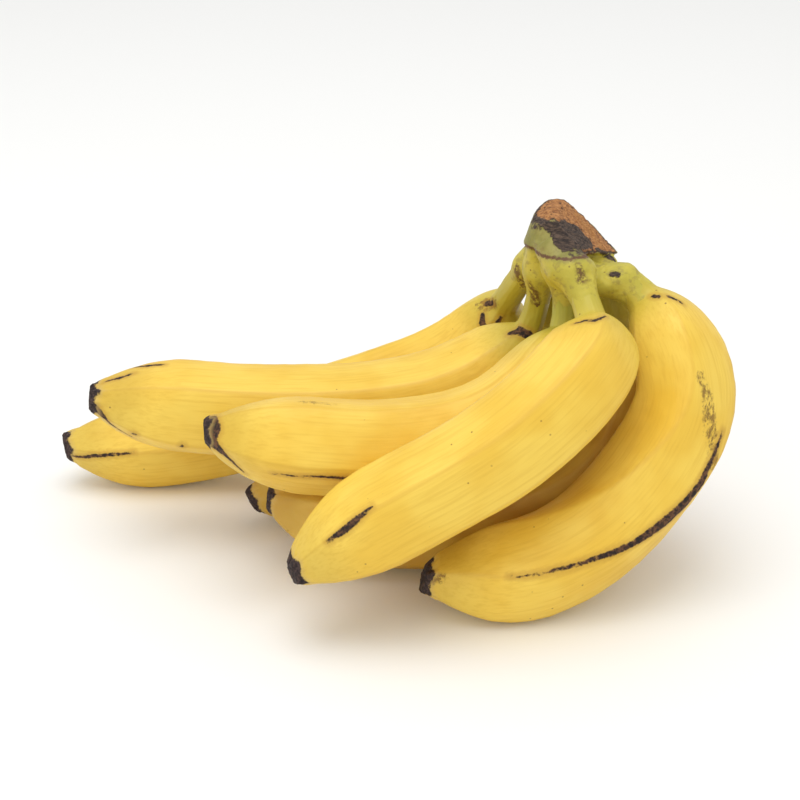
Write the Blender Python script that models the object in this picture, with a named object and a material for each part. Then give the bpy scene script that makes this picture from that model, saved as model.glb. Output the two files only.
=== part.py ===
"""A hand of bananas resting on a level surface: seven fingers that hang from one cut crown.

Run with: blender --background --python part.py

Frame: metres, +Z up. The origin is on the surface under the middle of the bunch. +X points
from the finger tips to the crown side and -Y is the open front. Every route below is in
millimetres and is turned into metres by MM.

Each finger is one solid, lofted along a smooth route from its root on the crown to its
blossom end. Its section is a rounded pentagon. Each solid stays GAP clear of the crown.
"""

import math
from dataclasses import dataclass

import bmesh
import bpy
from mathutils import Matrix, Vector

MM = 0.001

SIDES = 20
RIDGES = 5
RIDGE_DEPTH = 0.022
FINE_STEP = 3.0
COARSE_STEP = 9.0
FINE_REACH = 14.0
GAP = 0.3

NECK_FLARE = 0.12
TIP_LENGTH = 40.0
TIP_SHARE = 0.26
TIP_POWER = 2.2

CROWN_FLOOR = 100.0
CROWN_TOP = 137.0
CROWN_BASE_CENTRE = (71.0, 17.0)
CROWN_BASE_RADII = (27.0, 23.0)
CROWN_TOP_CENTRE = (66.0, 18.0)
CROWN_TOP_RADII = (8.5, 9.0)
CROWN_SIDES = 20
UNDERSIDE_POINT = (70.0, 18.0, 114.0)
UNDERSIDE_NORMAL = (0.0, -0.322, -0.947)
CUT_POINT = (63.0, 20.0, 137.0)
CUT_NORMAL = (0.35, -0.30, 0.89)
STUB_LENGTH = 14.0
STUB_SPREAD = 0.75

YELLOW = (0.86, 0.60, 0.045)
OCHRE = (0.74, 0.48, 0.035)
GREEN = (0.28, 0.27, 0.075)
SKIN_ROUGHNESS = 0.5
CROWN_ROUGHNESS = 0.8


@dataclass(frozen=True)
class Finger:
    """One banana: body and neck sizes in millimetres, and its route from root to tip."""

    name: str
    radius: float
    neck_radius: float
    neck_length: float
    shoulder_length: float
    ridge_turn: float
    colour: tuple
    route: tuple


FINGERS = (
    Finger("finger_1_front", 18.6, 6.4, 14.0, 13.0, 20.0, YELLOW, (
        (87, 7, 113), (98, 2, 105), (107, -8, 92), (111, -17, 74),
        (103, -27, 52), (82, -39, 31), (51, -47, 17.5), (17, -51, 16),
    )),
    Finger("finger_2_front", 18.0, 5.2, 22.0, 8.0, 10.0, YELLOW, (
        (71, 0, 114), (76, -14, 102), (76, -28, 95), (66, -44, 86),
        (45, -54, 70), (8, -60, 49), (-15, -64, 36), (-29, -69, 29),
    )),
    Finger("finger_3_front", 17.8, 4.4, 24.0, 9.0, 30.0, YELLOW, (
        (67, 11, 111), (69, 11, 98), (68, 6, 87), (62, -5, 76),
        (48, -14, 64), (18, -20, 55), (-22, -26, 57), (-62, -24, 61),
    )),
    Finger("finger_4_front", 17.8, 4.6, 26.0, 9.0, 0.0, YELLOW, (
        (61, 21, 106), (60, 24, 93), (56, 25, 79), (47, 25, 67),
        (30, 22, 57), (-6, 16, 51), (-53, 12, 52), (-87, 10, 56), (-108, 6, 61),
    )),
    Finger("finger_5_front", 17.4, 4.4, 30.0, 11.0, 15.0, YELLOW, (
        (56, 32, 105), (52, 41, 91), (47, 52, 76), (38, 58, 60),
        (19, 60, 47), (-17, 59, 34), (-60, 58, 22.5), (-95, 57, 16.5), (-128, 52, 17.5),
    )),
    Finger("finger_6_back", 17.2, 4.8, 22.0, 8.0, 40.0, OCHRE, (
        (82, 20, 109), (91, 18, 88), (94, 13, 63), (82, 2, 35),
        (50, -10, 20), (10, -14, 17), (-17, -13, 20), (-41, -9, 26),
    )),
    Finger("finger_7_back", 17.0, 4.6, 30.0, 8.0, 25.0, OCHRE, (
        (70, 33, 105), (67, 40, 88), (73, 45, 68), (78, 45, 45), (62, 37, 26),
        (25, 31, 16.5), (-16, 25, 17), (-50, 19, 10),
    )),
)


def clear_scene():
    """Remove every object that the scene starts with."""
    for obj in list(bpy.data.objects):
        bpy.data.objects.remove(obj, do_unlink=True)


def make_material(name, colour, roughness):
    """Return a Principled material of one colour."""
    material = bpy.data.materials.new(name)
    material.use_nodes = True
    shader = material.node_tree.nodes["Principled BSDF"]
    shader.inputs["Base Color"].default_value = (*colour, 1.0)
    shader.inputs["Roughness"].default_value = roughness
    shader.inputs["Metallic"].default_value = 0.0
    return material


def second_derivatives(knots, values):
    """Return a natural cubic spline's second derivatives, by elimination down and back."""
    count = len(knots)
    slopes = [Vector((0.0, 0.0, 0.0)) for _ in range(count)]
    shares = [0.0] * count
    for i in range(1, count - 1):
        before = knots[i] - knots[i - 1]
        after = knots[i + 1] - knots[i]
        weight = before / (before + after)
        pivot = weight * shares[i - 1] + 2.0
        shares[i] = (weight - 1.0) / pivot
        bend = (values[i + 1] - values[i]) / after - (values[i] - values[i - 1]) / before
        slopes[i] = (6.0 * bend / (before + after) - weight * slopes[i - 1]) / pivot
    result = [Vector((0.0, 0.0, 0.0)) for _ in range(count)]
    for i in range(count - 2, 0, -1):
        result[i] = shares[i] * result[i + 1] + slopes[i]
    return result


class Route:
    """A natural cubic curve through points, read by the distance travelled along it."""

    SAMPLES = 400

    def __init__(self, points):
        values = [Vector(point) for point in points]
        knots = [0.0]
        for before, after in zip(values, values[1:]):
            knots.append(knots[-1] + (after - before).length)
        bends = second_derivatives(knots, values)
        self.points = []
        span = 0
        for step in range(self.SAMPLES + 1):
            t = knots[-1] * step / self.SAMPLES
            while span < len(knots) - 2 and t > knots[span + 1]:
                span += 1
            width = knots[span + 1] - knots[span]
            a = (knots[span + 1] - t) / width
            b = (t - knots[span]) / width
            curved = (a**3 - a) * bends[span] + (b**3 - b) * bends[span + 1]
            self.points.append(a * values[span] + b * values[span + 1] + curved * width**2 / 6.0)
        self.travelled = [0.0]
        for before, after in zip(self.points, self.points[1:]):
            self.travelled.append(self.travelled[-1] + (after - before).length)
        self.length = self.travelled[-1]

    def at(self, distance):
        """Return the point and the unit direction at a distance from the root."""
        index = 0
        while index < self.SAMPLES - 1 and self.travelled[index + 1] < distance:
            index += 1
        start, end = self.points[index], self.points[index + 1]
        share = (distance - self.travelled[index]) / (end - start).length
        return start.lerp(end, share), (end - start).normalized()


def radius_at(finger, distance, length):
    """Return a finger's mean radius: flared neck, sudden shoulder, even body, blunt tip."""
    along = min(distance / finger.neck_length * 2.0, 2.0) - 1.0
    neck = finger.neck_radius * (1.0 + NECK_FLARE * along**2)
    past = max(distance - finger.neck_length, 0.0)
    swell = 1.0 - math.exp(-past / finger.shoulder_length)
    left = min((length - distance) / TIP_LENGTH, 1.0)
    taper = 1.0 - (1.0 - TIP_SHARE) * (1.0 - left) ** TIP_POWER
    return (neck + (finger.radius - neck) * swell) * taper


def ring_distances(finger, length):
    """Return where the rings stand: close at the neck's end and the tip, wide between."""
    distances = [0.0]
    while distances[-1] < length - 1.5 * FINE_STEP:
        here = distances[-1]
        near_neck = abs(here - finger.neck_length - 2.0) < FINE_REACH
        near_tip = length - here < 2.0 * FINE_REACH
        distances.append(here + (FINE_STEP if near_neck or near_tip else COARSE_STEP))
    distances[-1] = length
    return distances


def add_ring(bm, centre, across, up, radius, turn, pull):
    """Add one rounded pentagon ring and return its edges."""
    along = across.cross(up)
    frame = Matrix((across, up, along)).transposed().to_4x4()
    frame.translation = centre
    circle = bmesh.ops.create_circle(
        bm, cap_ends=False, radius=radius, segments=SIDES, matrix=frame
    )
    for vertex in circle["verts"]:
        spoke = vertex.co - centre
        angle = math.atan2(spoke.dot(up), spoke.dot(across))
        vertex.co = centre + spoke * (1.0 + RIDGE_DEPTH * pull * math.cos(RIDGES * (angle - turn)))
    return list({edge for vertex in circle["verts"] for edge in vertex.link_edges})


def close_holes(bm):
    """Fill every open loop and turn all faces outward."""
    open_edges = [edge for edge in bm.edges if edge.is_boundary]
    bmesh.ops.holes_fill(bm, edges=open_edges, sides=0)
    bmesh.ops.recalc_face_normals(bm, faces=bm.faces)


def slice_off(bm, point, outward):
    """Cut away all that lies outside a plane, and close the body with a flat face."""
    whole = list(bm.verts) + list(bm.edges) + list(bm.faces)
    bmesh.ops.bisect_plane(
        bm, geom=whole, plane_co=point, plane_no=outward, clear_outer=True, dist=1e-7
    )
    close_holes(bm)


def add_object(name, bm, material):
    """Turn a millimetre mesh into a named object in metres, shaded smooth."""
    bmesh.ops.scale(bm, vec=(MM, MM, MM), verts=bm.verts)
    mesh = bpy.data.meshes.new(name)
    bm.to_mesh(mesh)
    bm.free()
    mesh.materials.append(material)
    mesh.shade_smooth()
    mesh.set_sharp_from_angle(angle=math.radians(50.0))
    obj = bpy.data.objects.new(name, mesh)
    bpy.context.collection.objects.link(obj)
    return obj


def build_finger(finger):
    """Loft one finger ring by ring along its route and flatten it where it rests."""
    route = Route(finger.route)
    bm = bmesh.new()
    _, along = route.at(0.0)
    across = along.orthogonal().normalized()
    last_edges = None
    for distance in ring_distances(finger, route.length):
        centre, along = route.at(distance)
        across = (across - along * across.dot(along)).normalized()
        up = along.cross(across)
        pull = min(max((distance - finger.neck_length) / FINE_REACH, 0.0), 1.0)
        turn = math.radians(finger.ridge_turn)
        radius = radius_at(finger, distance, route.length)
        edges = add_ring(bm, centre, across, up, radius, turn, pull)
        if last_edges:
            bmesh.ops.bridge_loops(bm, edges=last_edges + edges)
        last_edges = edges
    close_holes(bm)
    if min(vertex.co.z for vertex in bm.verts) < 0.0:
        slice_off(bm, (0.0, 0.0, 0.0), (0.0, 0.0, -1.0))
    material = make_material(f"{finger.name}_skin", finger.colour, SKIN_ROUGHNESS)
    return add_object(finger.name, bm, material)


def build_stub(finger):
    """Build the short root that joins a finger's neck to the crown, as a hidden guide."""
    root, along = Route(finger.route).at(0.0)
    radius = radius_at(finger, 0.0, 1000.0)
    frame = along.to_track_quat("Z", "Y").to_matrix().to_4x4()
    frame.translation = root - along * (GAP + STUB_LENGTH / 2.0)
    bm = bmesh.new()
    bmesh.ops.create_cone(
        bm, cap_ends=True, segments=SIDES, radius1=radius * STUB_SPREAD, radius2=radius,
        depth=STUB_LENGTH, matrix=frame
    )
    material = make_material(f"{finger.name}_root", GREEN, CROWN_ROUGHNESS)
    stub = add_object(f"{finger.name}_root", bm, material)
    stub.hide_render = True
    stub.display_type = "WIRE"
    return stub


def build_crown():
    """Build the crown: a leaning block with a slanting cut on top and a root for each finger."""
    height = CROWN_TOP - CROWN_FLOOR
    bm = bmesh.new()
    bmesh.ops.create_cone(
        bm, cap_ends=True, segments=CROWN_SIDES, radius1=1.0, radius2=1.0, depth=height
    )
    for vertex in bm.verts:
        is_top = vertex.co.z > 0.0
        radii = CROWN_TOP_RADII if is_top else CROWN_BASE_RADII
        centre = CROWN_TOP_CENTRE if is_top else CROWN_BASE_CENTRE
        vertex.co.x = vertex.co.x * radii[0] + centre[0]
        vertex.co.y = vertex.co.y * radii[1] + centre[1]
        vertex.co.z += CROWN_FLOOR + height / 2.0
    slice_off(bm, CUT_POINT, Vector(CUT_NORMAL).normalized())
    slice_off(bm, UNDERSIDE_POINT, Vector(UNDERSIDE_NORMAL).normalized())
    crown = add_object("crown", bm, make_material("crown_skin", GREEN, CROWN_ROUGHNESS))
    for finger in FINGERS:
        union = crown.modifiers.new(f"{finger.name}_union", "BOOLEAN")
        union.operation = "UNION"
        union.object = build_stub(finger)
    return crown


def main():
    """Build the crown and the seven fingers."""
    clear_scene()
    build_crown()
    for finger in FINGERS:
        build_finger(finger)


main()
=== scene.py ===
"""A hand of ripe bananas on its cut crown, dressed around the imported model.

Every length below is in millimetres and turned into metres by MM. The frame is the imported
model's own: +Z up, the origin on the surface under the middle of the bunch.
"""

import logging
import math
from dataclasses import dataclass, field
from enum import Enum
from functools import partial

import bmesh
import bpy
import numpy as np
from bmesh.types import BMEdge, BMesh
from mathutils import Euler, Matrix, Vector, noise


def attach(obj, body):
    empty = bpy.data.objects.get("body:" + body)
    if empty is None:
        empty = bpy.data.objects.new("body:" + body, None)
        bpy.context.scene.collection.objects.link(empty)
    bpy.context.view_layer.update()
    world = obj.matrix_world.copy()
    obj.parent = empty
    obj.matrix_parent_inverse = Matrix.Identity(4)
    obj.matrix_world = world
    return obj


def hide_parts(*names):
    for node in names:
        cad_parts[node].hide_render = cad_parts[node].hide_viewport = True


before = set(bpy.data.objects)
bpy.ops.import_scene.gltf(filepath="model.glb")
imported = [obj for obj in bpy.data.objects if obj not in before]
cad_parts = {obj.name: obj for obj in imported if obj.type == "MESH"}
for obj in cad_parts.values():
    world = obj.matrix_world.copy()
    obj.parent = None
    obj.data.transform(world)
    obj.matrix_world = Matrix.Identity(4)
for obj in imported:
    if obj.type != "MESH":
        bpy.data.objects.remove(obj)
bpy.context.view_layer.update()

MM = 0.001
TO_MM = (1000.0, 1000.0, 1000.0)
FAR = 99.0  # Further from any mark than its colour reaches.
WAX_IOR = 1.45
BAKE_MAP = "OFBake"

# Settings of a Mix node that blends two colours, and of a Map Range node with soft ends.
BLEND = {"out": 2, "data_type": "RGBA"}
SMOOTH = {"interpolation_type": "SMOOTHSTEP"}

log = logging.getLogger("bananas")

Array = np.ndarray
Place = tuple[float, float, float]
Socket = bpy.types.NodeSocket


class Face(Enum):
    """Vertex attributes that carry a piece's own measures to its material, in millimetres."""

    STRAIGHT = "straight"
    FROM_NECK = "from_neck"
    FROM_TIP = "from_tip"
    RIDGE = "ridge"
    BRUISE = "bruise"
    SCUFF = "scuff"
    CUT = "cut"
    DRIED = "dried"
    TAN = "tan"
    RIM = "rim"
    WEB = "web"


def linear(hex_colour: str) -> tuple[float, float, float, float]:
    """Turn an sRGB hex colour into linear RGBA.

    Args:
        hex_colour: a # and six hex digits.

    Returns:
        The linear red, green and blue, and an alpha of one.
    """
    parts = [int(hex_colour[i:i + 2], 16) / 255.0 for i in (1, 3, 5)]
    flat = [c / 12.92 if c <= 0.04045 else ((c + 0.055) / 1.055) ** 2.4 for c in parts]
    return (flat[0], flat[1], flat[2], 1.0)


def add_node(
    tree: bpy.types.NodeTree, kind: str, inputs: dict | None = None, out: int | str = 0, **settings: object
) -> Socket:
    """Add a shader node with its settings, values and links.

    Args:
        tree: the node tree that takes the node.
        kind: the node's type without its ShaderNode prefix.
        inputs: an input's name or index, to the socket linked to it or the value set on it.
        out: the output that the caller wants.
        settings: attributes set on the node itself.

    Returns:
        The output asked for.
    """
    node = tree.nodes.new("ShaderNode" + kind)
    for name, value in settings.items():
        setattr(node, name, value)
    for key, source in (inputs or {}).items():
        if isinstance(source, Socket):
            tree.links.new(source, node.inputs[key])
        elif isinstance(source, str):
            node.inputs[key].default_value = linear(source)
        else:
            node.inputs[key].default_value = source
    return node.outputs[out]


def lay_tint(
    tree: bpy.types.NodeTree,
    under: Socket | str,
    tint: Socket | str,
    measure: Socket,
    span: tuple[float, float],
    shares: tuple[float, float] = (0.0, 1.0),
) -> Socket:
    """Lay a tint over a colour, by a share that follows a measure.

    Args:
        tree: the node tree.
        under: the colour below, as a socket or hex.
        tint: the colour laid over it.
        measure: what the share follows.
        span: the two values of the measure between which the share changes.
        shares: the tint's share at each of them.

    Returns:
        The new colour.
    """
    share = {0: measure, 1: span[0], 2: span[1], 3: shares[0], 4: shares[1]}
    share = add_node(tree, "MapRange", share, **SMOOTH)
    return add_node(tree, "Mix", {0: share, 6: under, 7: tint}, **BLEND)


@dataclass(frozen=True)
class BananaPeel:
    """Ripe banana peel: waxy and satin, paler on its ridges, green at the neck, brown where hurt."""

    name: str
    light: str = "#EFCB52"
    deep: str = "#E8BE40"
    green: str = "#A8A63A"
    fibre: str = "#CFA02C"
    worn: str = "#D5A838"
    tip: str = "#B0963A"
    freckle: str = "#7A4E1E"
    scuff: str = "#6E4A22"
    halo: str = "#B8892C"
    scab: tuple[str, str] = ("#21140F", "#6E4A2E")
    cream: str = "#C4A764"
    husk: tuple[str, str] = ("#1B1011", "#54403A")
    green_reach: float = 26.0
    green_share: float = 0.75
    shift: float = 0.0

    def build(self) -> bpy.types.Material:
        """Build the material.

        Returns:
            The peel's material.
        """
        material = bpy.data.materials.new(self.name)
        material.use_nodes = True
        tree = material.node_tree
        add = partial(add_node, tree)
        lay = partial(lay_tint, tree)
        shader = tree.nodes["Principled BSDF"]
        shader.inputs["IOR"].default_value = WAX_IOR

        # Patterns are read in millimetres, so a scale of 0.04 is a patch 25 mm across.
        aside = (self.shift, 0.0, 0.0)
        spot = add("Mapping", {"Vector": add("TexCoord", out="Object"), "Scale": TO_MM, "Location": aside})
        straight = add("Attribute", out="Vector", attribute_name=Face.STRAIGHT.value)
        measure = {
            face: add("Attribute", out="Fac", attribute_name=face.value)
            for face in (Face.FROM_NECK, Face.FROM_TIP, Face.RIDGE, Face.BRUISE, Face.SCUFF)
        }
        patches = add("TexNoise", {"Vector": spot, "Scale": 0.04, "Detail": 2.0})
        wobble = add("Math", {0: patches, 1: 16.0, 2: -8.0}, operation="MULTIPLY_ADD")
        grain = add("TexNoise", {"Vector": spot, "Scale": 0.6, "Detail": 4.0, "Roughness": 0.65})
        ragged = add("Math", {0: grain, 1: 3.2, 2: -1.6}, operation="MULTIPLY_ADD")

        # Broad patches are riper or paler, and fibres 1 mm wide run lengthwise.
        colour = lay(self.deep, self.light, patches, (0.35, 0.65))
        drawn = add("Mapping", {"Vector": straight, "Scale": (1.0, 1.0, 0.05), "Location": aside})
        threads = add("TexNoise", {"Vector": drawn, "Scale": 0.9, "Detail": 2.0, "Roughness": 0.6})
        colour = lay(colour, self.fibre, threads, (0.40, 0.75), (0.0, 0.30))
        colour = lay(colour, self.worn, measure[Face.RIDGE], (0.60, 1.0), (0.0, 0.40))

        # Green is left where the neck grows from the crown, and a trace of it at the tip.
        neck = add("Math", {0: measure[Face.FROM_NECK], 1: wobble}, operation="ADD")
        colour = lay(colour, self.green, neck, (-12.0, self.green_reach), (self.green_share, 0.0))
        tip = add("Math", {0: measure[Face.FROM_TIP], 1: wobble}, operation="ADD")
        colour = lay(colour, self.tip, tip, (6.0, 26.0), (0.35, 0.0))

        # Freckles about 0.7 mm across gather in some places only.
        cells = add("TexVoronoi", {"Vector": spot, "Scale": 0.17}, out="Distance")
        freckle = add("MapRange", {0: cells, 1: 0.04, 2: 0.085, 3: 0.8, 4: 0.0}, **SMOOTH)
        slow = add("TexNoise", {"Vector": spot, "Scale": 0.055, "Detail": 1.0})
        share = add("MapRange", {0: slow, 1: 0.50, 2: 0.62}, **SMOOTH)
        share = add("Math", {0: freckle, 1: share}, operation="MULTIPLY")
        colour = add("Mix", {0: share, 6: colour, 7: self.freckle}, **BLEND)

        # Scuffs are brown and broken; bruises are black with a ragged edge and a tan halo.
        broken = add("Mapping", {"Vector": straight, "Scale": (1.0, 1.0, 0.6)})
        broken = add("TexNoise", {"Vector": broken, "Scale": 0.5, "Detail": 6.0, "Roughness": 0.7})
        scuff = add("Math", {0: ragged, 1: 1.6, 2: measure[Face.SCUFF]}, operation="MULTIPLY_ADD")
        scuff = add("MapRange", {0: scuff, 1: -0.8, 2: 1.0, 3: 0.8, 4: 0.0}, **SMOOTH)
        share = add("MapRange", {0: broken, 1: 0.42, 2: 0.56}, **SMOOTH)
        scuff = add("Math", {0: scuff, 1: share}, operation="MULTIPLY")
        colour = add("Mix", {0: scuff, 6: colour, 7: self.scuff}, **BLEND)
        hurt = add("Math", {0: ragged, 1: 0.55, 2: measure[Face.BRUISE]}, operation="MULTIPLY_ADD")
        colour = lay(colour, self.halo, hurt, (0.2, 2.4), (0.5, 0.0))
        bruise = add("MapRange", {0: hurt, 1: -0.25, 2: 0.35, 3: 1.0, 4: 0.0}, **SMOOTH)
        scab = lay(*self.scab, grain, (0.38, 0.68))
        colour = add("Mix", {0: bruise, 6: colour, 7: scab}, **BLEND)

        # The blossom end is dried and nearly black, with a cream line round it.
        end = add("Math", {0: ragged, 1: 0.9, 2: measure[Face.FROM_TIP]}, operation="MULTIPLY_ADD")
        end = add("Math", {0: measure[Face.RIDGE], 1: -0.7, 2: end}, operation="MULTIPLY_ADD")
        colour = lay(colour, self.cream, end, (2.0, 4.2), (0.5, 0.0))
        nub = add("MapRange", {0: end, 1: 1.5, 2: 2.3, 3: 1.0, 4: 0.0}, **SMOOTH)
        husk = add("TexNoise", {"Vector": spot, "Scale": 0.9, "Detail": 4.0, "Roughness": 0.7})
        husk = lay(*self.husk, husk, (0.35, 0.75))
        colour = add("Mix", {0: nub, 6: colour, 7: husk}, **BLEND)
        tree.links.new(colour, shader.inputs["Base Color"])

        # Wax keeps the sound peel satin; hurt and dried peel is dull.
        dry = add("Math", {0: bruise, 1: nub}, operation="MAXIMUM")
        dry = add("Math", {0: dry, 1: scuff}, operation="MAXIMUM")
        satin = add("MapRange", {0: threads, 1: 0.3, 2: 0.7, 3: 0.42, 4: 0.52}, **SMOOTH)
        rough = add("Mix", {0: dry, 2: satin, 3: 0.78}, data_type="FLOAT")
        tree.links.new(rough, shader.inputs["Roughness"])

        # Fine pores and fibres lie in the wax, and deep wrinkles only in the dried parts.
        pores = add("Mapping", {"Vector": straight, "Scale": (1.0, 1.0, 0.25)})
        pores = add("TexNoise", {"Vector": pores, "Scale": 1.2, "Detail": 3.0, "Roughness": 0.6})
        swell = add("TexNoise", {"Vector": spot, "Scale": 0.14, "Detail": 2.0})
        swell = add("Math", {0: swell, 1: 0.30}, operation="MULTIPLY")
        height = add("Math", {0: pores, 1: 0.06, 2: swell}, operation="MULTIPLY_ADD")
        crumple = add("Math", {0: grain, 1: dry}, operation="MULTIPLY")
        height = add("Math", {0: crumple, 1: 0.5, 2: height}, operation="MULTIPLY_ADD")
        bump = add("Bump", {"Height": height, "Distance": MM, "Strength": 0.8})
        tree.links.new(bump, shader.inputs["Normal"])
        return material


@dataclass(frozen=True)
class CrownStalk:
    """Cut banana crown: fibrous dried flesh on top, green peel below, dark where it has dried."""

    name: str = "banana_crown"
    peel: tuple[str, str] = ("#807C34", "#9A914C")
    web: tuple[str, str] = ("#B7AB3C", "#C6B745")
    mottle: str = "#7F6A3A"
    freckle: str = "#6B4A26"
    outline: str = "#3A2418"
    flesh: tuple[str, str] = ("#8C5A33", "#C98F56")
    pit: str = "#3B2618"
    scuff: str = "#5F3E1E"
    rim: str = "#5A2F1E"
    tan: tuple[str, str] = ("#9A6434", "#C08A50")
    dried: tuple[str, str] = ("#2E2522", "#6A5648")

    def build(self) -> bpy.types.Material:
        """Build the material.

        Returns:
            The crown's material.
        """
        material = bpy.data.materials.new(self.name)
        material.use_nodes = True
        tree = material.node_tree
        add = partial(add_node, tree)
        lay = partial(lay_tint, tree)
        shader = tree.nodes["Principled BSDF"]
        shader.inputs["IOR"].default_value = WAX_IOR

        spot = add("Mapping", {"Vector": add("TexCoord", out="Object"), "Scale": TO_MM})
        measure = {
            face: add("Attribute", out="Fac", attribute_name=face.value)
            for face in (Face.CUT, Face.DRIED, Face.TAN, Face.RIM, Face.WEB, Face.SCUFF)
        }
        grain = add("TexNoise", {"Vector": spot, "Scale": 0.6, "Detail": 4.0, "Roughness": 0.65})
        ragged = add("Math", {0: grain, 1: 3.2, 2: -1.6}, operation="MULTIPLY_ADD")
        edge = {
            face: add("Math", {0: ragged, 1: 0.8, 2: socket}, operation="MULTIPLY_ADD")
            for face, socket in measure.items()
        }

        # The peel runs down into the necks, mottled green with small brown spots.
        slow = add("TexNoise", {"Vector": spot, "Scale": 0.12, "Detail": 3.0})
        peel = lay(*self.peel, slow, (0.35, 0.65))
        web = lay(*self.web, slow, (0.35, 0.65))
        colour = lay(peel, web, measure[Face.WEB], (-1.0, 3.0))
        mottle = add("TexNoise", {"Vector": spot, "Scale": 0.30, "Detail": 4.0, "Roughness": 0.6})
        mottle = add("MapRange", {0: mottle, 1: 0.50, 2: 0.66}, **SMOOTH)
        mottle = add("Math", {0: mottle, 1: 0.45}, operation="MULTIPLY")
        colour = add("Mix", {0: mottle, 6: colour, 7: self.mottle}, **BLEND)
        cells = add("TexVoronoi", {"Vector": spot, "Scale": 0.28}, out="Distance")
        freckle = add("MapRange", {0: cells, 1: 0.06, 2: 0.14, 3: 0.8, 4: 0.0}, **SMOOTH)
        gather = add("TexNoise", {"Vector": spot, "Scale": 0.10, "Detail": 1.0})
        share = add("MapRange", {0: gather, 1: 0.46, 2: 0.60}, **SMOOTH)
        share = add("Math", {0: freckle, 1: share}, operation="MULTIPLY")
        colour = add("Mix", {0: share, 6: colour, 7: self.freckle}, **BLEND)

        # The cut itself is dried orange-brown flesh, pitted, with a thin dark outline.
        fibre = add("Mapping", {"Vector": spot, "Scale": (0.35, 1.0, 1.6)})
        fibre = add("TexNoise", {"Vector": fibre, "Scale": 0.9, "Detail": 4.0, "Roughness": 0.7})
        colour = lay(colour, self.outline, edge[Face.CUT], (1.0, 1.6), (1.0, 0.0))
        flesh = lay(*self.flesh, fibre, (0.35, 0.68))
        pit = add("TexVoronoi", {"Vector": spot, "Scale": 0.42}, out="Distance")
        flesh = lay(flesh, self.pit, pit, (0.12, 0.28), (0.85, 0.0))
        cut = add("MapRange", {0: edge[Face.CUT], 1: 0.2, 2: 0.8, 3: 1.0, 4: 0.0}, **SMOOTH)
        colour = add("Mix", {0: cut, 6: colour, 7: flesh}, **BLEND)

        # Brown scuffs on the necks are broken and blotchy.
        blotch = add("TexNoise", {"Vector": spot, "Scale": 0.55, "Detail": 6.0, "Roughness": 0.7})
        scuff = add("MapRange", {0: edge[Face.SCUFF], 1: -0.6, 2: 0.9, 3: 0.9, 4: 0.0}, **SMOOTH)
        share = add("MapRange", {0: blotch, 1: 0.40, 2: 0.52}, **SMOOTH)
        share = add("Math", {0: scuff, 1: share}, operation="MULTIPLY")
        colour = add("Mix", {0: share, 6: colour, 7: self.scuff}, **BLEND)

        # A reddish-brown rim, tan strips, and grey-brown dried bands lie over the peel.
        colour = lay(colour, self.rim, edge[Face.RIM], (-0.2, 0.5), (0.9, 0.0))
        tan = lay(*self.tan, fibre, (0.35, 0.65))
        colour = lay(colour, tan, edge[Face.TAN], (-0.2, 0.5), (1.0, 0.0))
        dried = lay(*self.dried, fibre, (0.35, 0.7))
        band = add("MapRange", {0: edge[Face.DRIED], 1: -0.2, 2: 0.4, 3: 1.0, 4: 0.0}, **SMOOTH)
        colour = add("Mix", {0: band, 6: colour, 7: dried}, **BLEND)
        tree.links.new(colour, shader.inputs["Base Color"])

        # Dried flesh is matt and cracked along its fibres.
        dry = add("Math", {0: band, 1: cut}, operation="MAXIMUM")
        rough = add("Mix", {0: dry, 2: 0.52, 3: 0.85}, data_type="FLOAT")
        tree.links.new(rough, shader.inputs["Roughness"])
        cracks = add("Math", {0: fibre, 1: dry}, operation="MULTIPLY")
        height = add("Math", {0: grain, 1: 0.25}, operation="MULTIPLY")
        height = add("Math", {0: cracks, 1: 0.9, 2: height}, operation="MULTIPLY_ADD")
        bump = add("Bump", {"Height": height, "Distance": MM, "Strength": 0.9})
        tree.links.new(bump, shader.inputs["Normal"])
        return material


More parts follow.
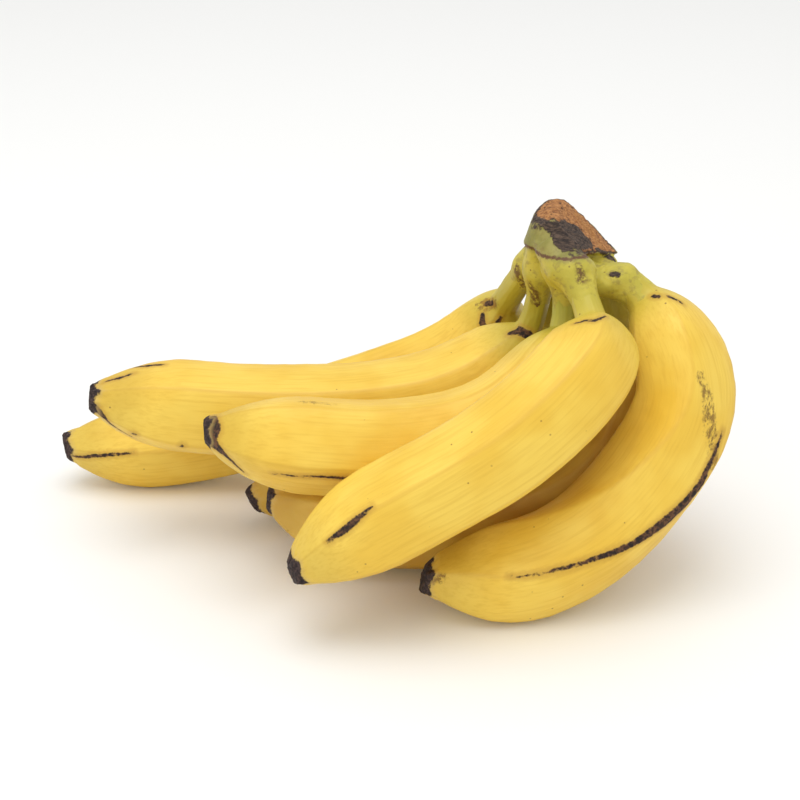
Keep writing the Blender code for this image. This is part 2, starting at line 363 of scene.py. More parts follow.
class Route:
    """A natural cubic curve through points, read by the distance travelled along it."""

    SAMPLES = 400

    def __init__(self, points: tuple[Place, ...]) -> None:
        """Work out the curve.

        Args:
            points: the places that the curve passes through, in millimetres.
        """
        values = np.array(points, float)
        knots = np.concatenate(([0.0], np.cumsum(np.linalg.norm(np.diff(values, axis=0), axis=1))))
        bends = self.second_derivatives(knots, values)
        t = np.linspace(0.0, knots[-1], self.SAMPLES + 1)
        span = np.clip(np.searchsorted(knots, t, side="right") - 1, 0, len(knots) - 2)
        width = (knots[span + 1] - knots[span])[:, None]
        before = (knots[span + 1] - t)[:, None] / width
        after = (t - knots[span])[:, None] / width
        curved = (before**3 - before) * bends[span] + (after**3 - after) * bends[span + 1]
        self.points = before * values[span] + after * values[span + 1] + curved * width**2 / 6.0
        steps = np.linalg.norm(np.diff(self.points, axis=0), axis=1)
        self.travelled = np.concatenate(([0.0], np.cumsum(steps)))
        self.length = float(self.travelled[-1])

    @staticmethod
    def second_derivatives(knots: Array, values: Array) -> Array:
        """Solve for a natural spline's second derivatives.

        Args:
            knots: the distance of each point along the chords.
            values: the points.

        Returns:
            The second derivative at each point, zero at both ends.
        """
        count = len(knots)
        matrix = np.eye(count)
        right = np.zeros((count, 3))
        for i in range(1, count - 1):
            before = knots[i] - knots[i - 1]
            after = knots[i + 1] - knots[i]
            matrix[i, i - 1:i + 2] = (before, 2.0 * (before + after), after)
            right[i] = 6.0 * ((values[i + 1] - values[i]) / after - (values[i] - values[i - 1]) / before)
        return np.linalg.solve(matrix, right)

    def frames(self, distances: Array) -> tuple[Array, Array, Array, Array]:
        """Read the curve, with two side directions that turn as little as they can.

        Args:
            distances: how far along the curve each frame stands.

        Returns:
            The centre, direction, across and up vectors, a row for each distance.
        """
        centre = np.stack([np.interp(distances, self.travelled, self.points[:, k]) for k in range(3)], 1)
        slopes = np.gradient(self.points, self.travelled, axis=0)
        along = np.stack([np.interp(distances, self.travelled, slopes[:, k]) for k in range(3)], 1)
        along /= np.linalg.norm(along, axis=1)[:, None]
        across = np.zeros_like(along)
        last = np.array(Vector(along[0]).orthogonal().normalized())
        for i, direction in enumerate(along):
            last = last - direction * last.dot(direction)
            last /= np.linalg.norm(last)
            across[i] = last
        return centre, along, across, np.cross(along, across)


@dataclass(frozen=True)
class Stroke:
    """One mark on a skin: a broken line of (along mm, angle degrees, width mm) points."""

    face: Face
    points: tuple[Place, ...]

    def distance(self, along: Array, angle: Array, radius: Array) -> Array:
        """Measure how far each vertex lies outside the mark.

        Args:
            along: each vertex's distance along its finger.
            angle: its angle round the finger, in radians.
            radius: the finger's radius there.

        Returns:
            Millimetres outside the mark's edge, negative inside it.
        """
        nearest = np.full(along.shape, FAR)
        for start, end in zip(self.points[:-1], self.points[1:]):
            spread = wrapped(angle - math.radians(start[1])) * radius
            run = end[0] - start[0]
            turn = wrapped(math.radians(end[1] - start[1])) * radius
            share = ((along - start[0]) * run + spread * turn) / (run**2 + turn**2 + 1e-9)
            share = np.clip(share, 0.0, 1.0)
            away = np.hypot(along - start[0] - share * run, spread - share * turn)
            half = 0.5 * (start[2] + (end[2] - start[2]) * share)
            nearest = np.minimum(nearest, away - half)
        return nearest


def wrapped(angle: float | Array) -> float | Array:
    """Return an angle in radians brought between minus and plus half a turn."""
    return (angle + math.pi) % (2.0 * math.pi) - math.pi


@dataclass
class Banana:
    """One finger of the hand, from inside the crown to its blossom end."""

    node: str
    slot: str
    radius: float
    neck_radius: float
    neck_length: float
    shoulder_length: float
    ridge_turn: float
    route_points: tuple[Place, ...]
    peel: BananaPeel
    strokes: tuple[Stroke, ...] = ()
    # The mesh: how many sides and how far apart its rows stand.
    sides: int = 96
    row_step: float = 1.3
    fine_step: float = 0.5
    # The shape along the route, from where it leaves the crown to the folded black nub.
    start: float = 7.0
    neck_flare: float = 0.12
    grown_reach: float = 14.0
    tip_length: float = 40.0
    tip_share: float = 0.28
    tip_power: float = 2.2
    nub_length: float = 5.0
    nub_tilt: float = 0.22
    cap_scales: tuple[float, ...] = (0.82, 0.45, 0.0)
    cap_pushes: tuple[float, ...] = (0.9, 0.5, -0.6)
    # The soft ridges, the slow swell of the body and the small folds.
    ridges: int = 5
    ridge_softness: float = 0.25
    ridge_depth: float = 0.058
    ridge_start: float = 0.55
    ridge_twist: float = 0.0
    swell_size: float = 22.0
    swell_depth: float = 0.35
    fold_round: float = 3.4
    fold_length: float = 5.0
    fold_depth: float = 0.15
    nub_fold_depth: float = 1.5
    # How much lower and thinner the root starts inside the crown.
    root_drop: float = 0.0
    root_girth: float = 1.0
    route: Route = field(init=False)

    def __post_init__(self) -> None:
        """Work out the route."""
        self.route = Route(self.route_points)

    def radius_at(self, distance: Array) -> Array:
        """Give the mean radius at each distance: neck, shoulder, body and blunt tip.

        Args:
            distance: how far along the route, in millimetres.

        Returns:
            The radius in millimetres.
        """
        neck_place = np.minimum(distance / self.neck_length * 2.0, 2.0) - 1.0
        neck = self.neck_radius * (1.0 + self.neck_flare * neck_place**2)
        past = np.maximum(distance - self.neck_length, 0.0)
        swell = 1.0 - np.exp(-past / self.shoulder_length)
        left = np.clip((self.route.length - distance) / self.tip_length, 0.0, 1.0)
        taper = 1.0 - (1.0 - self.tip_share) * (1.0 - left) ** self.tip_power
        return (neck + (self.radius - neck) * swell) * taper

    def ridge_at(self, angle: Array, along: Array) -> Array:
        """Give the height of the soft ridges, from minus one to one.

        Args:
            angle: the angle round the finger, in radians.
            along: the distance along it, because the ridges may wind slowly.

        Returns:
            One on a ridge and minus one in the middle of a facet.
        """
        turned = angle - np.radians(self.ridge_turn + self.ridge_twist * along)
        facet = math.tau / self.ridges
        pentagon = 1.0 / np.cos(turned % facet - facet / 2.0)
        corner = 1.0 / math.cos(facet / 2.0)
        sharp = 2.0 * (pentagon - 1.0) / (corner - 1.0) - 1.0
        return self.ridge_softness * np.cos(self.ridges * turned) + (1.0 - self.ridge_softness) * sharp

    def rows(self) -> Array:
        """Place the rows of the mesh, closest together at the blossom end.

        Returns:
            The distance of each row along the route.
        """
        fine_reach = self.nub_length * 2.0
        body = np.arange(self.start, self.route.length - fine_reach, self.row_step)
        nub = np.arange(self.route.length - fine_reach, self.route.length, self.fine_step)
        return np.concatenate((body, nub, [self.route.length]))

    def build(self) -> bpy.types.Object:
        """Model the finger from a flat grid rolled into a tube and closed at both ends.

        Returns:
            The finished object.
        """
        distances = self.rows()
        along = np.concatenate((distances[:1], distances, [self.route.length] * len(self.cap_scales)))
        scale = np.concatenate(([0.0], np.ones(len(distances)), self.cap_scales))
        push = np.concatenate((np.zeros(len(distances) + 1), self.cap_pushes))
        bm = bmesh.new()
        bm.loops.layers.uv.new(BAKE_MAP)
        bmesh.ops.create_grid(
            bm, x_segments=len(along) - 1, y_segments=self.sides, size=0.5, calc_uvs=True
        )
        flat = np.array([vertex.co[:2] for vertex in bm.verts]) + 0.5
        row = np.rint(flat[:, 0] * (len(along) - 1)).astype(int)
        side = np.rint(flat[:, 1] * self.sides).astype(int) % self.sides
        self.bend(bm, along[row], scale[row], push[row], side * math.tau / self.sides)
        bmesh.ops.remove_doubles(bm, verts=bm.verts, dist=1e-7)
        bmesh.ops.recalc_face_normals(bm, faces=bm.faces)
        return finished(bm, "peel_" + self.node)

    def bend(
        self,
        bm: BMesh,
        along: Array,
        scale: Array,
        push: Array,
        angle: Array,
    ) -> None:
        """Move the grid onto the finger and write its measures.

        Args:
            bm: the grid.
            along: each vertex's distance along the route.
            scale: its share of the radius, under one where an end closes.
            push: how far it stands past the route's end.
            angle: its angle round the route, in radians.
        """
        distances = np.unique(along)
        row = np.searchsorted(distances, along)
        centre, ahead, across, up = (part[row] for part in self.route.frames(distances))
        cosine, sine = np.cos(angle)[:, None], np.sin(angle)[:, None]
        outward = across * cosine + up * sine
        ridge = self.ridge_at(angle, along)
        grown = np.clip((along - self.neck_length) / self.grown_reach, 0.0, 1.0)
        left = self.route.length - along
        depth = self.ridge_depth * (self.ridge_start + (1.0 - self.ridge_start) * grown)
        radius = self.radius_at(along) * (1.0 + depth * ridge)
        base = centre + outward * radius[:, None]
        swell = np.array([noise.noise(Vector(place) / self.swell_size) for place in base])
        around = np.concatenate((cosine, sine), 1) * self.fold_round
        folds = np.concatenate((around, along[:, None] / self.fold_length), 1)
        folds = np.array([noise.noise(Vector(place)) for place in folds])
        dried = np.clip(1.0 - left / self.nub_length, 0.0, 1.0)
        radius = radius + self.swell_depth * swell * grown
        radius = radius + folds * (self.fold_depth + self.nub_fold_depth * dried)
        tilted = np.cos(angle - math.radians(self.ridge_turn)) * dried
        push = push + self.nub_tilt * radius * scale * tilted
        places = centre + outward * (radius * scale)[:, None] + ahead * push[:, None]
        places[:, 2] = np.maximum(places[:, 2], 0.0)
        measures = {
            Face.FROM_NECK: along - self.neck_length,
            Face.FROM_TIP: left * np.minimum(scale * 2.0, 1.0),
            Face.RIDGE: ridge,
            Face.BRUISE: self.nearest(Face.BRUISE, along, angle, radius),
            Face.SCUFF: self.nearest(Face.SCUFF, along, angle, radius),
        }
        flat = np.concatenate((radius[:, None] * cosine, radius[:, None] * sine, along[:, None]), 1)
        straight = bm.verts.layers.float_vector.new(Face.STRAIGHT.value)
        layers = {face: bm.verts.layers.float.new(face.value) for face in measures}
        for index, vertex in enumerate(bm.verts):
            vertex.co = places[index] * MM
            vertex[straight] = flat[index]
            for face, layer in layers.items():
                vertex[layer] = measures[face][index]

    def nearest(self, face: Face, along: Array, angle: Array, radius: Array) -> Array:
        """Measure how far each vertex lies from the nearest mark of one kind.

        Args:
            face: the kind of mark.
            along: each vertex's distance along the finger.
            angle: its angle round the finger, in radians.
            radius: the finger's radius there.

        Returns:
            Millimetres outside the nearest mark.
        """
        nearest = np.full(along.shape, FAR)
        for stroke in self.strokes:
            if stroke.face is face:
                nearest = np.minimum(nearest, stroke.distance(along, angle, radius))
        return nearest


def finished(bm: BMesh, name: str) -> bpy.types.Object:
    """Turn a bmesh into a smooth object in the scene.

    Args:
        bm: the mesh being built, which is freed.
        name: the object's name.

    Returns:
        The object.
    """
    mesh = bpy.data.meshes.new(name)
    bm.to_mesh(mesh)
    bm.free()
    mesh.shade_smooth()
    piece = bpy.data.objects.new(name, mesh)
    bpy.context.collection.objects.link(piece)
    return piece


@dataclass(frozen=True)
class Patch:
    """One mark on the crown: a broken line of (x, y, z, width) points, in millimetres."""

    face: Face
    points: tuple[tuple[float, float, float, float], ...]

    def distance(self, places: Array) -> Array:
        """Measure how far each vertex lies outside the mark.

        Args:
            places: the vertices' places, in millimetres.

        Returns:
            Millimetres outside the mark's edge, negative inside it.
        """
        nearest = np.full(len(places), FAR)
        for start, end in zip(self.points[:-1], self.points[1:]):
            first, last = np.array(start[:3]), np.array(end[:3])
            run = last - first
            share = np.clip((places - first) @ run / (run @ run), 0.0, 1.0)
            away = np.linalg.norm(places - first - share[:, None] * run, axis=1)
            nearest = np.minimum(nearest, away - 0.5 * (start[3] + (end[3] - start[3]) * share))
        return nearest


@dataclass
class Crown:
    """The cut block of stalk that every finger grows from."""

    bananas: tuple[Banana, ...]
    finish: CrownStalk = CrownStalk()
    node: str = "crown"
    piece: str = "cut_crown"
    slot: str = "crown_stalk"
    # The block: a leaning cone, its cuts, its underside and the lip that hangs at its front.
    floor: float = 100.0
    top: float = 136.0
    base_centre: tuple[float, float] = (74.0, 17.0)
    base_radii: tuple[float, float] = (25.5, 22.0)
    top_centre: tuple[float, float] = (67.0, 18.0)
    top_radii: tuple[float, float] = (7.5, 8.0)
    belly: float = 0.03
    block_sides: int = 64
    block_rings: int = 12
    cuts: tuple[tuple[Place, Place], ...] = (
        ((79.8, 20.0, 120.0), (0.66, -0.226, 0.70)),
        ((63.0, 20.0, 132.4), (-0.55, -0.15, 0.82)),
        ((65.0, 20.0, 131.9), (0.10, -0.10, 0.99)),
    )
    underside_point: Place = (70.0, 18.0, 116.0)
    underside_normal: Place = (-0.1, -0.322, -0.941)
    underside_reach: float = 0.5
    lip: float = 3.2
    lip_middle: float = 64.0
    lip_width: float = 11.0
    lip_front: float = 1.6
    # The roots: how far each runs back and out, how it narrows, and how deep it lies under the cut.
    root_back: float = 14.0
    root_fade: float = 10.0
    root_reach: float = 19.0
    root_flare: float = 1.30
    root_end: float = 0.86
    root_margin: float = 1.0
    root_rings: int = 16
    root_sides: int = 32
    sink_end: float = 2.0
    sink_fade: float = 8.0
    web_flare: float = 0.20
    web_reach: float = 5.0
    # The surface: the rim and outline, and the sizes and depths of its wrinkles.
    rim_drop: float = 0.4
    rim_end: float = 79.0
    rim_half: float = 0.5
    rim_fade: float = 0.5
    outline: float = 1.2
    outline_depth: float = 1.6
    flesh_reach: float = 1.5
    flesh_depth: float = 0.35
    fine_size: float = 1.6
    fine_depth: float = 0.06
    broad_size: float = 6.0
    broad_depth: float = 0.35
    voxel: float = 0.6
    soften_rounds: int = 10
    patches: tuple[Patch, ...] = (
        Patch(Face.DRIED, ((57, 19, 128.5, 1.5), (59.1, 13.3, 128.5, 2.5), (61.7, 8.8, 128.2, 3.5),
                           (65.5, 7, 127.5, 5), (69, 9.5, 127, 8), (73, 12.5, 124, 9),
                           (76.5, 12.5, 120.5, 6))),
        Patch(Face.DRIED, ((64.5, 6, 126.5, 5), (67, 3.5, 124.5, 7), (71, 6, 123.5, 8), (75, 9.5, 121, 5))),
        Patch(Face.DRIED, ((67.5, 1.5, 122.4, 4), (72, 4.5, 121.8, 3))),
        Patch(Face.DRIED, ((80.4, 13.5, 117.5, 1.5), (84.3, 17, 114.2, 2.6), (87.6, 19, 111.8, 2.4))),
        Patch(Face.DRIED, ((84.6, 1.2, 112.7, 2.2), (86.8, 0.5, 112.6, 2.2))),
        Patch(Face.SCUFF, ((52, 27, 105, 3), (54.4, 27.8, 100.5, 5), (55.6, 30.4, 96, 2.5))),
        Patch(Face.SCUFF, ((56.6, 17, 104, 2), (58.1, 18, 99, 4), (59.4, 19.6, 92, 3))),
        Patch(Face.SCUFF, ((71.8, -6, 118.5, 2), (73.0, -8, 114, 3.5), (75, -7.5, 113, 2))),
        Patch(Face.SCUFF, ((68, 47, 116, 3), (72, 45, 108, 6))),
        Patch(Face.TAN, ((73, 23.5, 126.5, 4), (76.5, 22, 123.5, 5), (80, 20.5, 120.5, 5),
                         (84, 17, 117.5, 4))),
    )

    def build(self) -> bpy.types.Object:
        """Join the leaning block and the roots, melt them together and roughen the result.

        Returns:
            The finished object.
        """
        bm = bmesh.new()
        bmesh.ops.create_cone(
            bm, cap_ends=True, segments=self.block_sides, radius1=1.0, radius2=1.0, depth=1.0
        )
        upright = [edge for edge in bm.edges if abs(edge.verts[0].co.z - edge.verts[1].co.z) > 0.5]
        bmesh.ops.subdivide_edges(bm, edges=upright, cuts=self.block_rings)
        for vertex in bm.verts:
            share = vertex.co.z + 0.5
            bulge = 1.0 + self.belly * math.sin(math.pi * share)
            for axis in (0, 1):
                centre = self.base_centre[axis] + (self.top_centre[axis] - self.base_centre[axis]) * share
                reach = self.base_radii[axis] + (self.top_radii[axis] - self.base_radii[axis]) * share
                vertex.co[axis] = centre + vertex.co[axis] * reach * bulge
            vertex.co.z = self.floor + (self.top - self.floor) * share
        for point, normal in self.cuts:
            self.slice_off(bm, point, normal)
        self.slice_off(bm, self.underside_point, self.underside_normal)
        level, facing = Vector(self.underside_point), Vector(self.underside_normal)
        for vertex in bm.verts:
            if abs((vertex.co - level).dot(facing)) < self.underside_reach:
                vertex.co.z -= self.lip * self.lip_share(vertex.co)
        for banana in self.bananas:
            self.add_root(bm, banana)
        bmesh.ops.scale(bm, vec=(MM, MM, MM), verts=bm.verts)
        rough = finished(bm, "crown_parts")
        remesh = rough.modifiers.new("melt", "REMESH")
        remesh.mode = "VOXEL"
        remesh.voxel_size = self.voxel * MM
        smooth = rough.modifiers.new("soften", "SMOOTH")
        smooth.factor = 0.5
        smooth.iterations = self.soften_rounds
        graph = bpy.context.evaluated_depsgraph_get()
        melted = bpy.data.meshes.new_from_object(rough.evaluated_get(graph))
        bpy.data.objects.remove(rough)
        bm = bmesh.new()
        bm.from_mesh(melted)
        bpy.data.meshes.remove(melted)
        self.roughen(bm)
        return finished(bm, self.piece)

    def lip_share(self, place: Vector) -> float:
        """Give how far the front lip hangs down at a place.

        Args:
            place: the place, in millimetres.

        Returns:
            A share from zero to one.
        """
        reach = (place.x - self.lip_middle) / self.lip_width
        front = (self.base_centre[1] - place.y) / self.base_radii[1]
        return math.exp(-reach * reach) * min(max(front * self.lip_front, 0.0), 1.0)

    def slice_off(self, bm: BMesh, point: Place, normal: Place) -> None:
        """Cut away what lies past a plane and close the hole.

        Args:
            bm: the block.
            point: a point on the plane.
            normal: the way the removed side lies.
        """
        geometry = list(bm.verts) + list(bm.edges) + list(bm.faces)
        cut = bmesh.ops.bisect_plane(bm, geom=geometry, plane_co=point, plane_no=normal, clear_outer=True)
        edges = [item for item in cut["geom_cut"] if isinstance(item, BMEdge)]
        bmesh.ops.holes_fill(bm, edges=edges, sides=0)

    def add_root(self, bm: BMesh, banana: Banana) -> None:
        """Add the tapered root that carries one neck out of the crown.

        Args:
            bm: the crown's mesh.
            banana: the finger that the root belongs to.
        """
        distances = np.linspace(-self.root_back, self.root_reach, self.root_rings)
        centres, aheads, _, _ = banana.route.frames(np.maximum(distances, 0.0))
        centres = centres + aheads * np.minimum(distances, 0.0)[:, None]
        level, facing = np.array(self.cuts[0])
        proud = banana.neck_radius * self.root_flare + self.root_margin + (centres - level) @ facing
        sunk = np.maximum(proud, 0.0) * np.clip((self.sink_end - distances) / self.sink_fade, 0.0, 1.0)
        sunk = sunk + banana.root_drop * np.clip((self.root_fade - distances) / self.root_fade, 0.0, 1.0)
        centres = centres - facing * sunk[:, None]
        before = None
        for centre, ahead, distance in zip(centres, aheads, distances):
            share = max(distance, 0.0) / self.root_reach
            flare = self.root_flare + (self.root_end - self.root_flare) * share
            girth = 1.0 + (banana.root_girth - 1.0) * (1.0 - share)
            flare += self.web_flare * math.exp(-(distance / self.web_reach) ** 2)
            turn = Vector(ahead).to_track_quat("Z", "Y").to_matrix().to_4x4()
            radius = float(banana.radius_at(max(distance, 0.0))) * flare * girth
            ring = bmesh.ops.create_circle(
                bm,
                cap_ends=False,
                segments=self.root_sides,
                radius=radius,
                matrix=Matrix.Translation(centre) @ turn,
            )
            edges = list({edge for vertex in ring["verts"] for edge in vertex.link_edges})
            if before is None:
                bmesh.ops.holes_fill(bm, edges=edges, sides=0)
            else:
                bmesh.ops.bridge_loops(bm, edges=before + edges)
            before = edges
        bmesh.ops.holes_fill(bm, edges=before, sides=0)

    def nearest_cut(self, places: Array) -> Array:
        """Measure how far each vertex lies from the faces of the cut.

        Args:
            places: the vertices' places, in millimetres.

        Returns:
            The distance from the nearest face that bounds the block there.
        """
        above = [(places - np.array(point)) @ (np.array(normal) / np.linalg.norm(normal))
                 for point, normal in self.cuts]
        return np.abs(np.max(above, axis=0))

    def depth_inside(self, places: Array) -> Array:
        """Measure how far each vertex lies inside the block's leaning side.

        Args:
            places: the vertices' places, in millimetres.

        Returns:
            The depth under the side, zero on it.
        """
        share = ((places[:, 2] - self.floor) / (self.top - self.floor))[:, None]
        low_centre, low_reach = np.array(self.base_centre), np.array(self.base_radii)
        centre = low_centre + (np.array(self.top_centre) - low_centre) * share
        reach = low_reach + (np.array(self.top_radii) - low_reach) * share
        reach = reach * (1.0 + self.belly * np.sin(math.pi * share))
        out = np.linalg.norm((places[:, :2] - centre) / reach, axis=1)
        return (1.0 - out) * reach.min(axis=1)

    def roughen(self, bm: BMesh) -> None:
        """Wrinkle the melted crown and write its measures.

        Args:
            bm: the melted mesh, in metres.
        """
        bm.normal_update()
        places = np.array([vertex.co[:] for vertex in bm.verts]) / MM
        normals = np.array([vertex.normal[:] for vertex in bm.verts])
        below_cut = self.nearest_cut(places)
        fine = np.array([noise.noise(Vector(place) / self.fine_size) for place in places])
        broad = np.array([noise.noise(Vector(place) / self.broad_size) for place in places])
        flesh = np.clip(self.flesh_reach - below_cut, 0.0, 1.0)
        skin = np.minimum(self.outline, self.outline_depth - self.depth_inside(places))
        lift = self.broad_depth * broad + fine * (self.fine_depth + self.flesh_depth * flesh)
        moved = places + normals * lift[:, None]
        hanging = np.array(self.underside_normal)
        lips = np.array([self.lip * self.lip_share(Vector(place)) for place in places])
        below_rim = (places - np.array(self.underside_point)) @ hanging - lips - self.rim_drop
        past_end = places[:, 0] - self.rim_end
        measures = {
            Face.CUT: np.maximum(np.maximum(below_cut, skin), below_rim + self.flesh_reach),
            Face.WEB: np.maximum(below_rim, past_end),
            Face.RIM: np.maximum(np.abs(below_rim) - self.rim_half, self.rim_fade * past_end),
        }
        for face in (Face.DRIED, Face.TAN, Face.SCUFF):
            nearest = np.full(len(places), FAR)
            for patch in self.patches:
                if patch.face is face:
                    nearest = np.minimum(nearest, patch.distance(places))
            measures[face] = nearest
        layers = {face: bm.verts.layers.float.new(face.value) for face in measures}
        for index, vertex in enumerate(bm.verts):
            vertex.co = moved[index] * MM
            for face, layer in layers.items():
                vertex[layer] = measures[face][index]


@dataclass
class Studio:
    """A plain pale floor, soft light from above and the front, and the camera."""

    target: Place = (8.0, -5.0, 65.0)
    elevation: float = 25.0
    distance: float = 700.0
    lens: float = 85.05
    sensor: float = 36.0
    floor_size: float = 8000.0
    floor_gap: float = 0.2
    floor_colour: str = "#F6F6F4"
    sky_strength: float = 0.80
    lamps: tuple[tuple[str, Place, float, float], ...] = (
        ("overhead", (-0.10, -0.15, 1.30), 1.0, 7.5),
        ("front_fill", (-0.60, -1.30, 0.75), 1.2, 2.5),
    )

    def build(self) -> None:
        """Lay the floor, hang the lights and stand the camera."""
        self.lay_floor()
        self.light_world()
        for lamp in self.lamps:
            self.hang_light(*lamp)
        self.stand_camera()
        bpy.context.scene.view_settings.view_transform = "Standard"

    def lay_floor(self) -> None:
        """Lay a plain matt floor just under the fruit."""
        bm = bmesh.new()
        bmesh.ops.create_grid(bm, x_segments=1, y_segments=1, size=self.floor_size * MM / 2.0)
        bmesh.ops.translate(bm, vec=(0.0, 0.0, -self.floor_gap * MM), verts=bm.verts)
        floor = finished(bm, "studio_floor")
        material = bpy.data.materials.new("matt_white_paper")
        material.use_nodes = True
        shader = material.node_tree.nodes["Principled BSDF"]
        shader.inputs["Base Color"].default_value = linear(self.floor_colour)
        shader.inputs["Roughness"].default_value = 0.9
        floor.data.materials.append(material)

    def light_world(self) -> None:
        """Light everything softly from all round."""
        world = bpy.data.worlds.new("studio_light")
        world.use_nodes = True
        background = world.node_tree.nodes["Background"]
        background.inputs["Color"].default_value = (1.0, 1.0, 1.0, 1.0)
        background.inputs["Strength"].default_value = self.sky_strength
        bpy.context.scene.world = world

    def hang_light(self, name: str, place: Place, size: float, power: float) -> None:
        """Hang one square soft light that faces the fruit.

        Args:
            name: the light's name.
            place: where it hangs, in metres.
            size: its side in metres.
            power: its power in watts.
        """
        lamp = bpy.data.lights.new(name, "AREA")
        lamp.size = size
        lamp.energy = power
        light = bpy.data.objects.new(name, lamp)
        aim = Vector(self.target) * MM - Vector(place)
        light.location = place
        light.rotation_euler = aim.to_track_quat("-Z", "Y").to_euler()
        bpy.context.collection.objects.link(light)

    def stand_camera(self) -> None:
        """Stand the camera in front of the bunch, looking a little down."""
        data = bpy.data.cameras.new("camera")
        data.lens = self.lens
        data.sensor_width = self.sensor
        camera = bpy.data.objects.new("camera", data)
        tilt = math.radians(self.elevation)
        back = Vector((0.0, -math.cos(tilt), math.sin(tilt))) * self.distance
        camera.location = (Vector(self.target) + back) * MM
        camera.rotation_euler = Euler((math.pi / 2.0 - tilt, 0.0, 0.0))
        bpy.context.collection.objects.link(camera)
        bpy.context.scene.camera = camera


def dress(piece: bpy.types.Object, node: str, material: bpy.types.Material) -> None:
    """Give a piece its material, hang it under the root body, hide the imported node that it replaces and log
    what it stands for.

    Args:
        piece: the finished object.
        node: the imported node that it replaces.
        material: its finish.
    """
    piece.data.materials.append(material)
    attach(piece, "root")
    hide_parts(node)
    log.info("%s stands for %s, %d faces", piece.name, node, len(piece.data.polygons))


FRONT = "front_skin"
BACK = "back_skin"
BRUISE = Face.BRUISE
SCUFF = Face.SCUFF

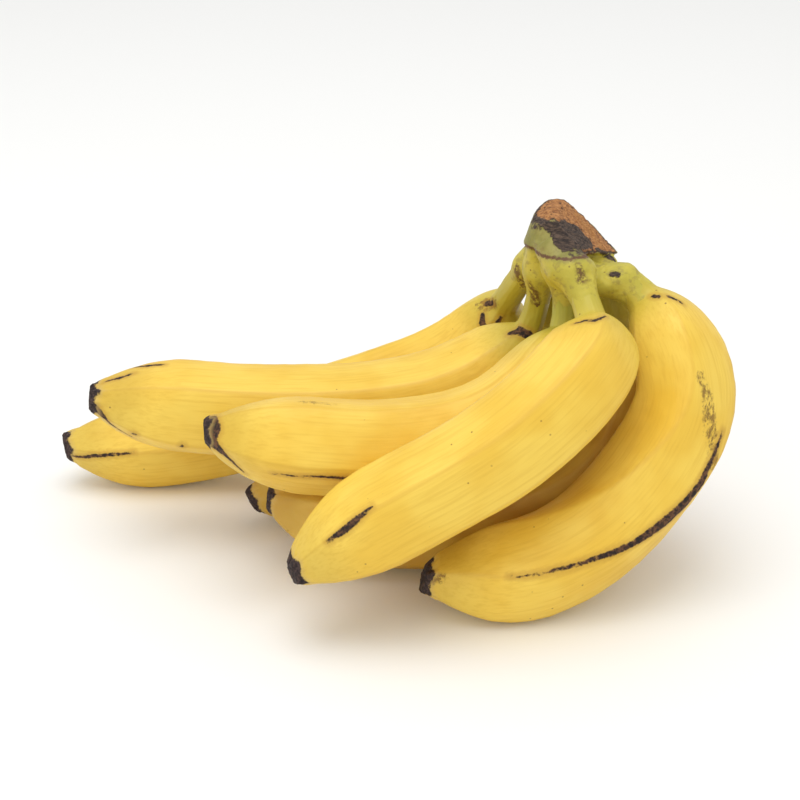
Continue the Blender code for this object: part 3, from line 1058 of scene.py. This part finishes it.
BANANAS = (
    Banana(
        "finger_1_front", FRONT, 18.6, 6.4, 14.0, 13.0, -8.0,
        ((87, 7, 110.5), (98, 2, 101), (106.5, -8, 89.5), (111, -17, 73), (103, -27, 52), (82, -39, 31),
         (51, -47, 17.5), (17, -51, 16)),
        BananaPeel("ripe_peel_1", green_reach=18.0, green_share=0.75, shift=3.0),
        (
            Stroke(BRUISE, ((151, 96, 0.3), (135, 90, 1), (121, 81, 1.5), (107.8, 69, 2.2),
                            (98, 61, 3.4), (87, 52, 3.9), (79, 49, 2.8), (72, 50, 2), (62, 48, 0.8))),
            Stroke(SCUFF, ((47, 88, 2), (59, 73, 4.5), (71, 46, 4))),
            Stroke(SCUFF, ((178, 96, 3), (174, 99, 3))),
            Stroke(BRUISE, ((16.5, 89, 1.6), (18, 84, 1.8))),
            Stroke(BRUISE, ((20, 71, 1.3), (24.5, 58, 1))),
            Stroke(BRUISE, ((60, 250, 0.8), (85, 262, 2.2), (104, 258, 0.8))),
            Stroke(SCUFF, ((120, 300, 3), (138, 312, 5))),
        ),
        ridge_twist=0.68,
        root_drop=2.0,
        root_girth=0.86,
    ),
    Banana(
        "finger_2_front", FRONT, 18.0, 5.2, 22.0, 8.0, 66.0,
        ((71, 0, 114), (76, -14, 102), (76, -28, 95), (66, -44, 86), (45, -54, 70), (8, -60, 49),
         (-15, -64, 36), (-29, -69, 29)),
        BananaPeel("ripe_peel_2", shift=31.0),
        (
            Stroke(BRUISE, ((155, 208, 0.8), (146, 208, 2.4), (140, 210.6, 2.2), (133, 214, 0.6))),
            Stroke(BRUISE, ((36, 250, 0.8), (34.6, 235, 1.5), (35.5, 223, 1.3), (32, 210, 0.8))),
            Stroke(BRUISE, ((70, 40, 0.8), (92, 52, 2), (101, 50, 0.8))),
            Stroke(SCUFF, ((110, 90, 4), (128, 84, 3))),
        ),
    ),
    Banana(
        "finger_3_front", FRONT, 17.8, 4.4, 24.0, 9.0, 57.0,
        ((67, 11, 111), (69, 11, 98), (68, 6, 87), (62, -5, 76), (48, -14, 64), (18, -20, 55),
         (-22, -26, 57), (-62, -24, 61)),
        BananaPeel("ripe_peel_3", green="#A2A634", green_reach=34.0, green_share=0.85, shift=57.0),
        (
            Stroke(BRUISE, ((150, 256, 0.5), (139.6, 261, 1), (133, 263, 1.3), (122, 261, 2),
                            (112, 258, 1))),
            Stroke(SCUFF, ((143, 358, 1.2), (131, 358.6, 1.2))),
            Stroke(BRUISE, ((176, 345, 8), (175, 310, 10), (174, 276, 6), (167, 256, 2),
                            (160, 226, 0.8))),
            Stroke(BRUISE, ((33, 326, 1.2), (29.6, 313, 2.4), (27.5, 294, 1.4))),
            Stroke(BRUISE, ((80, 120, 0.8), (96, 112, 1.8), (110, 118, 0.6))),
        ),
    ),
    Banana(
        "finger_4_front", FRONT, 17.8, 4.6, 26.0, 9.0, 0.0,
        ((61, 21, 106), (60, 24, 93), (56, 25, 79), (47, 25, 67), (30, 22, 57), (-6, 16, 51),
         (-53, 12, 52), (-87, 10, 56), (-108, 6, 61)),
        BananaPeel("ripe_peel_4", green="#9C9C30", shift=83.0),
        (
            Stroke(BRUISE, ((200, 44, 0.6), (195.7, 40, 1.5), (190, 44, 0.6))),
            Stroke(BRUISE, ((190, 70, 0.6), (184.3, 59, 1.7), (178, 55, 0.6))),
            Stroke(BRUISE, ((187.5, 283, 1.6), (187, 285, 1.6))),
            Stroke(BRUISE, ((168.5, 286, 1.3), (168, 288, 1.3))),
            Stroke(BRUISE, ((206, 304, 3.4), (201, 294, 2.4), (196, 271, 1.2), (187, 262, 0.5))),
            Stroke(BRUISE, ((29, 10, 1.6), (26, 1, 3), (25.8, 324, 3.2), (27, 282, 1.6))),
            Stroke(SCUFF, ((3, 18, 3), (7, 354, 3.6), (12, 334, 2.5))),
            Stroke(SCUFF, ((120, 150, 4), (140, 160, 6), (152, 152, 3))),
        ),
    ),
    Banana(
        "finger_5_front", FRONT, 17.4, 5.2, 30.0, 11.0, 57.0,
        ((58, 31, 105), (52, 41, 91), (47, 52, 76), (38, 58, 60), (19, 60, 47), (-17, 59, 34),
         (-60, 58, 22.5), (-95, 57, 16.5), (-128, 52, 17.5)),
        BananaPeel("ripe_peel_5", shift=112.0),
        (
            Stroke(BRUISE, ((231, 315, 1), (222, 336, 1.4), (214, 343, 1.4), (204, 347, 0.5))),
            Stroke(BRUISE, ((34, 16, 1.6), (36.7, 351, 3.4), (36.6, 333, 3.2), (31, 326, 1.4))),
            Stroke(SCUFF, ((33, 42, 4.5), (30.7, 35, 5), (27, 16, 3.5))),
            Stroke(BRUISE, ((31, 38, 2.4), (29, 30, 2))),
            Stroke(SCUFF, ((3, 6, 3.5), (5, 330, 4.5), (9, 292, 3.5))),
            Stroke(BRUISE, ((90, 90, 0.6), (112, 97, 2.2), (126, 94, 0.8))),
            Stroke(SCUFF, ((150, 140, 4), (170, 130, 5))),
        ),
        root_drop=1.5,
        root_girth=0.78,
    ),
    Banana(
        "finger_6_back", BACK, 17.2, 5.8, 22.0, 8.0, 40.0,
        ((82, 20, 109), (91, 18, 88), (94, 13, 63), (82, 2, 35), (50, -10, 20), (10, -14, 17),
         (-17, -13, 20), (-41, -9, 26)),
        # Its darker peel colours are partly the peel's own deeper ochre and partly painted shade, for a
        # finger that lies behind the front row.
        BananaPeel("shaded_peel_6", light="#E2BC50", deep="#CC9A34", shift=141.0),
        (
            Stroke(BRUISE, ((48, 60, 0.8), (66, 66, 2.2), (82, 62, 0.8))),
            Stroke(SCUFF, ((30, 20, 3), (36, 340, 4))),
            Stroke(BRUISE, ((25, 80, 2), (26, 40, 2.4), (24, 10, 1.2))),
        ),
        root_drop=2.0,
        root_girth=0.92,
    ),
    Banana(
        "finger_7_back", BACK, 17.0, 4.6, 30.0, 8.0, 25.0,
        ((70, 33, 105), (67, 40, 88), (73, 45, 68), (78, 45, 45), (62, 37, 26), (25, 31, 16.5), (-16, 25, 17),
         (-50, 19, 10)),
        # Its darker peel colours are partly the peel's own deeper ochre and partly painted shade, for a
        # finger that lies behind the front row.
        BananaPeel("shaded_peel_7", light="#DDB548", deep="#C8952F", shift=173.0),
        (
            Stroke(BRUISE, ((60, 30, 0.8), (84, 38, 2), (96, 34, 0.8))),
            Stroke(SCUFF, ((110, 70, 4), (126, 80, 5))),
            Stroke(BRUISE, ((33, 60, 1.4), (34, 20, 2.4), (33, 340, 1.2))),
        ),
    ),
)


def main() -> None:
    """Build the studio, the fingers and the crown, and write how large they came out."""
    logging.basicConfig(level=logging.INFO, format="%(message)s")
    Studio().build()
    for banana in BANANAS:
        dress(banana.build(), banana.node, banana.peel.build())
    crown = Crown(BANANAS)
    dress(crown.build(), crown.node, crown.finish.build())


if __name__ == "__main__":
    main()
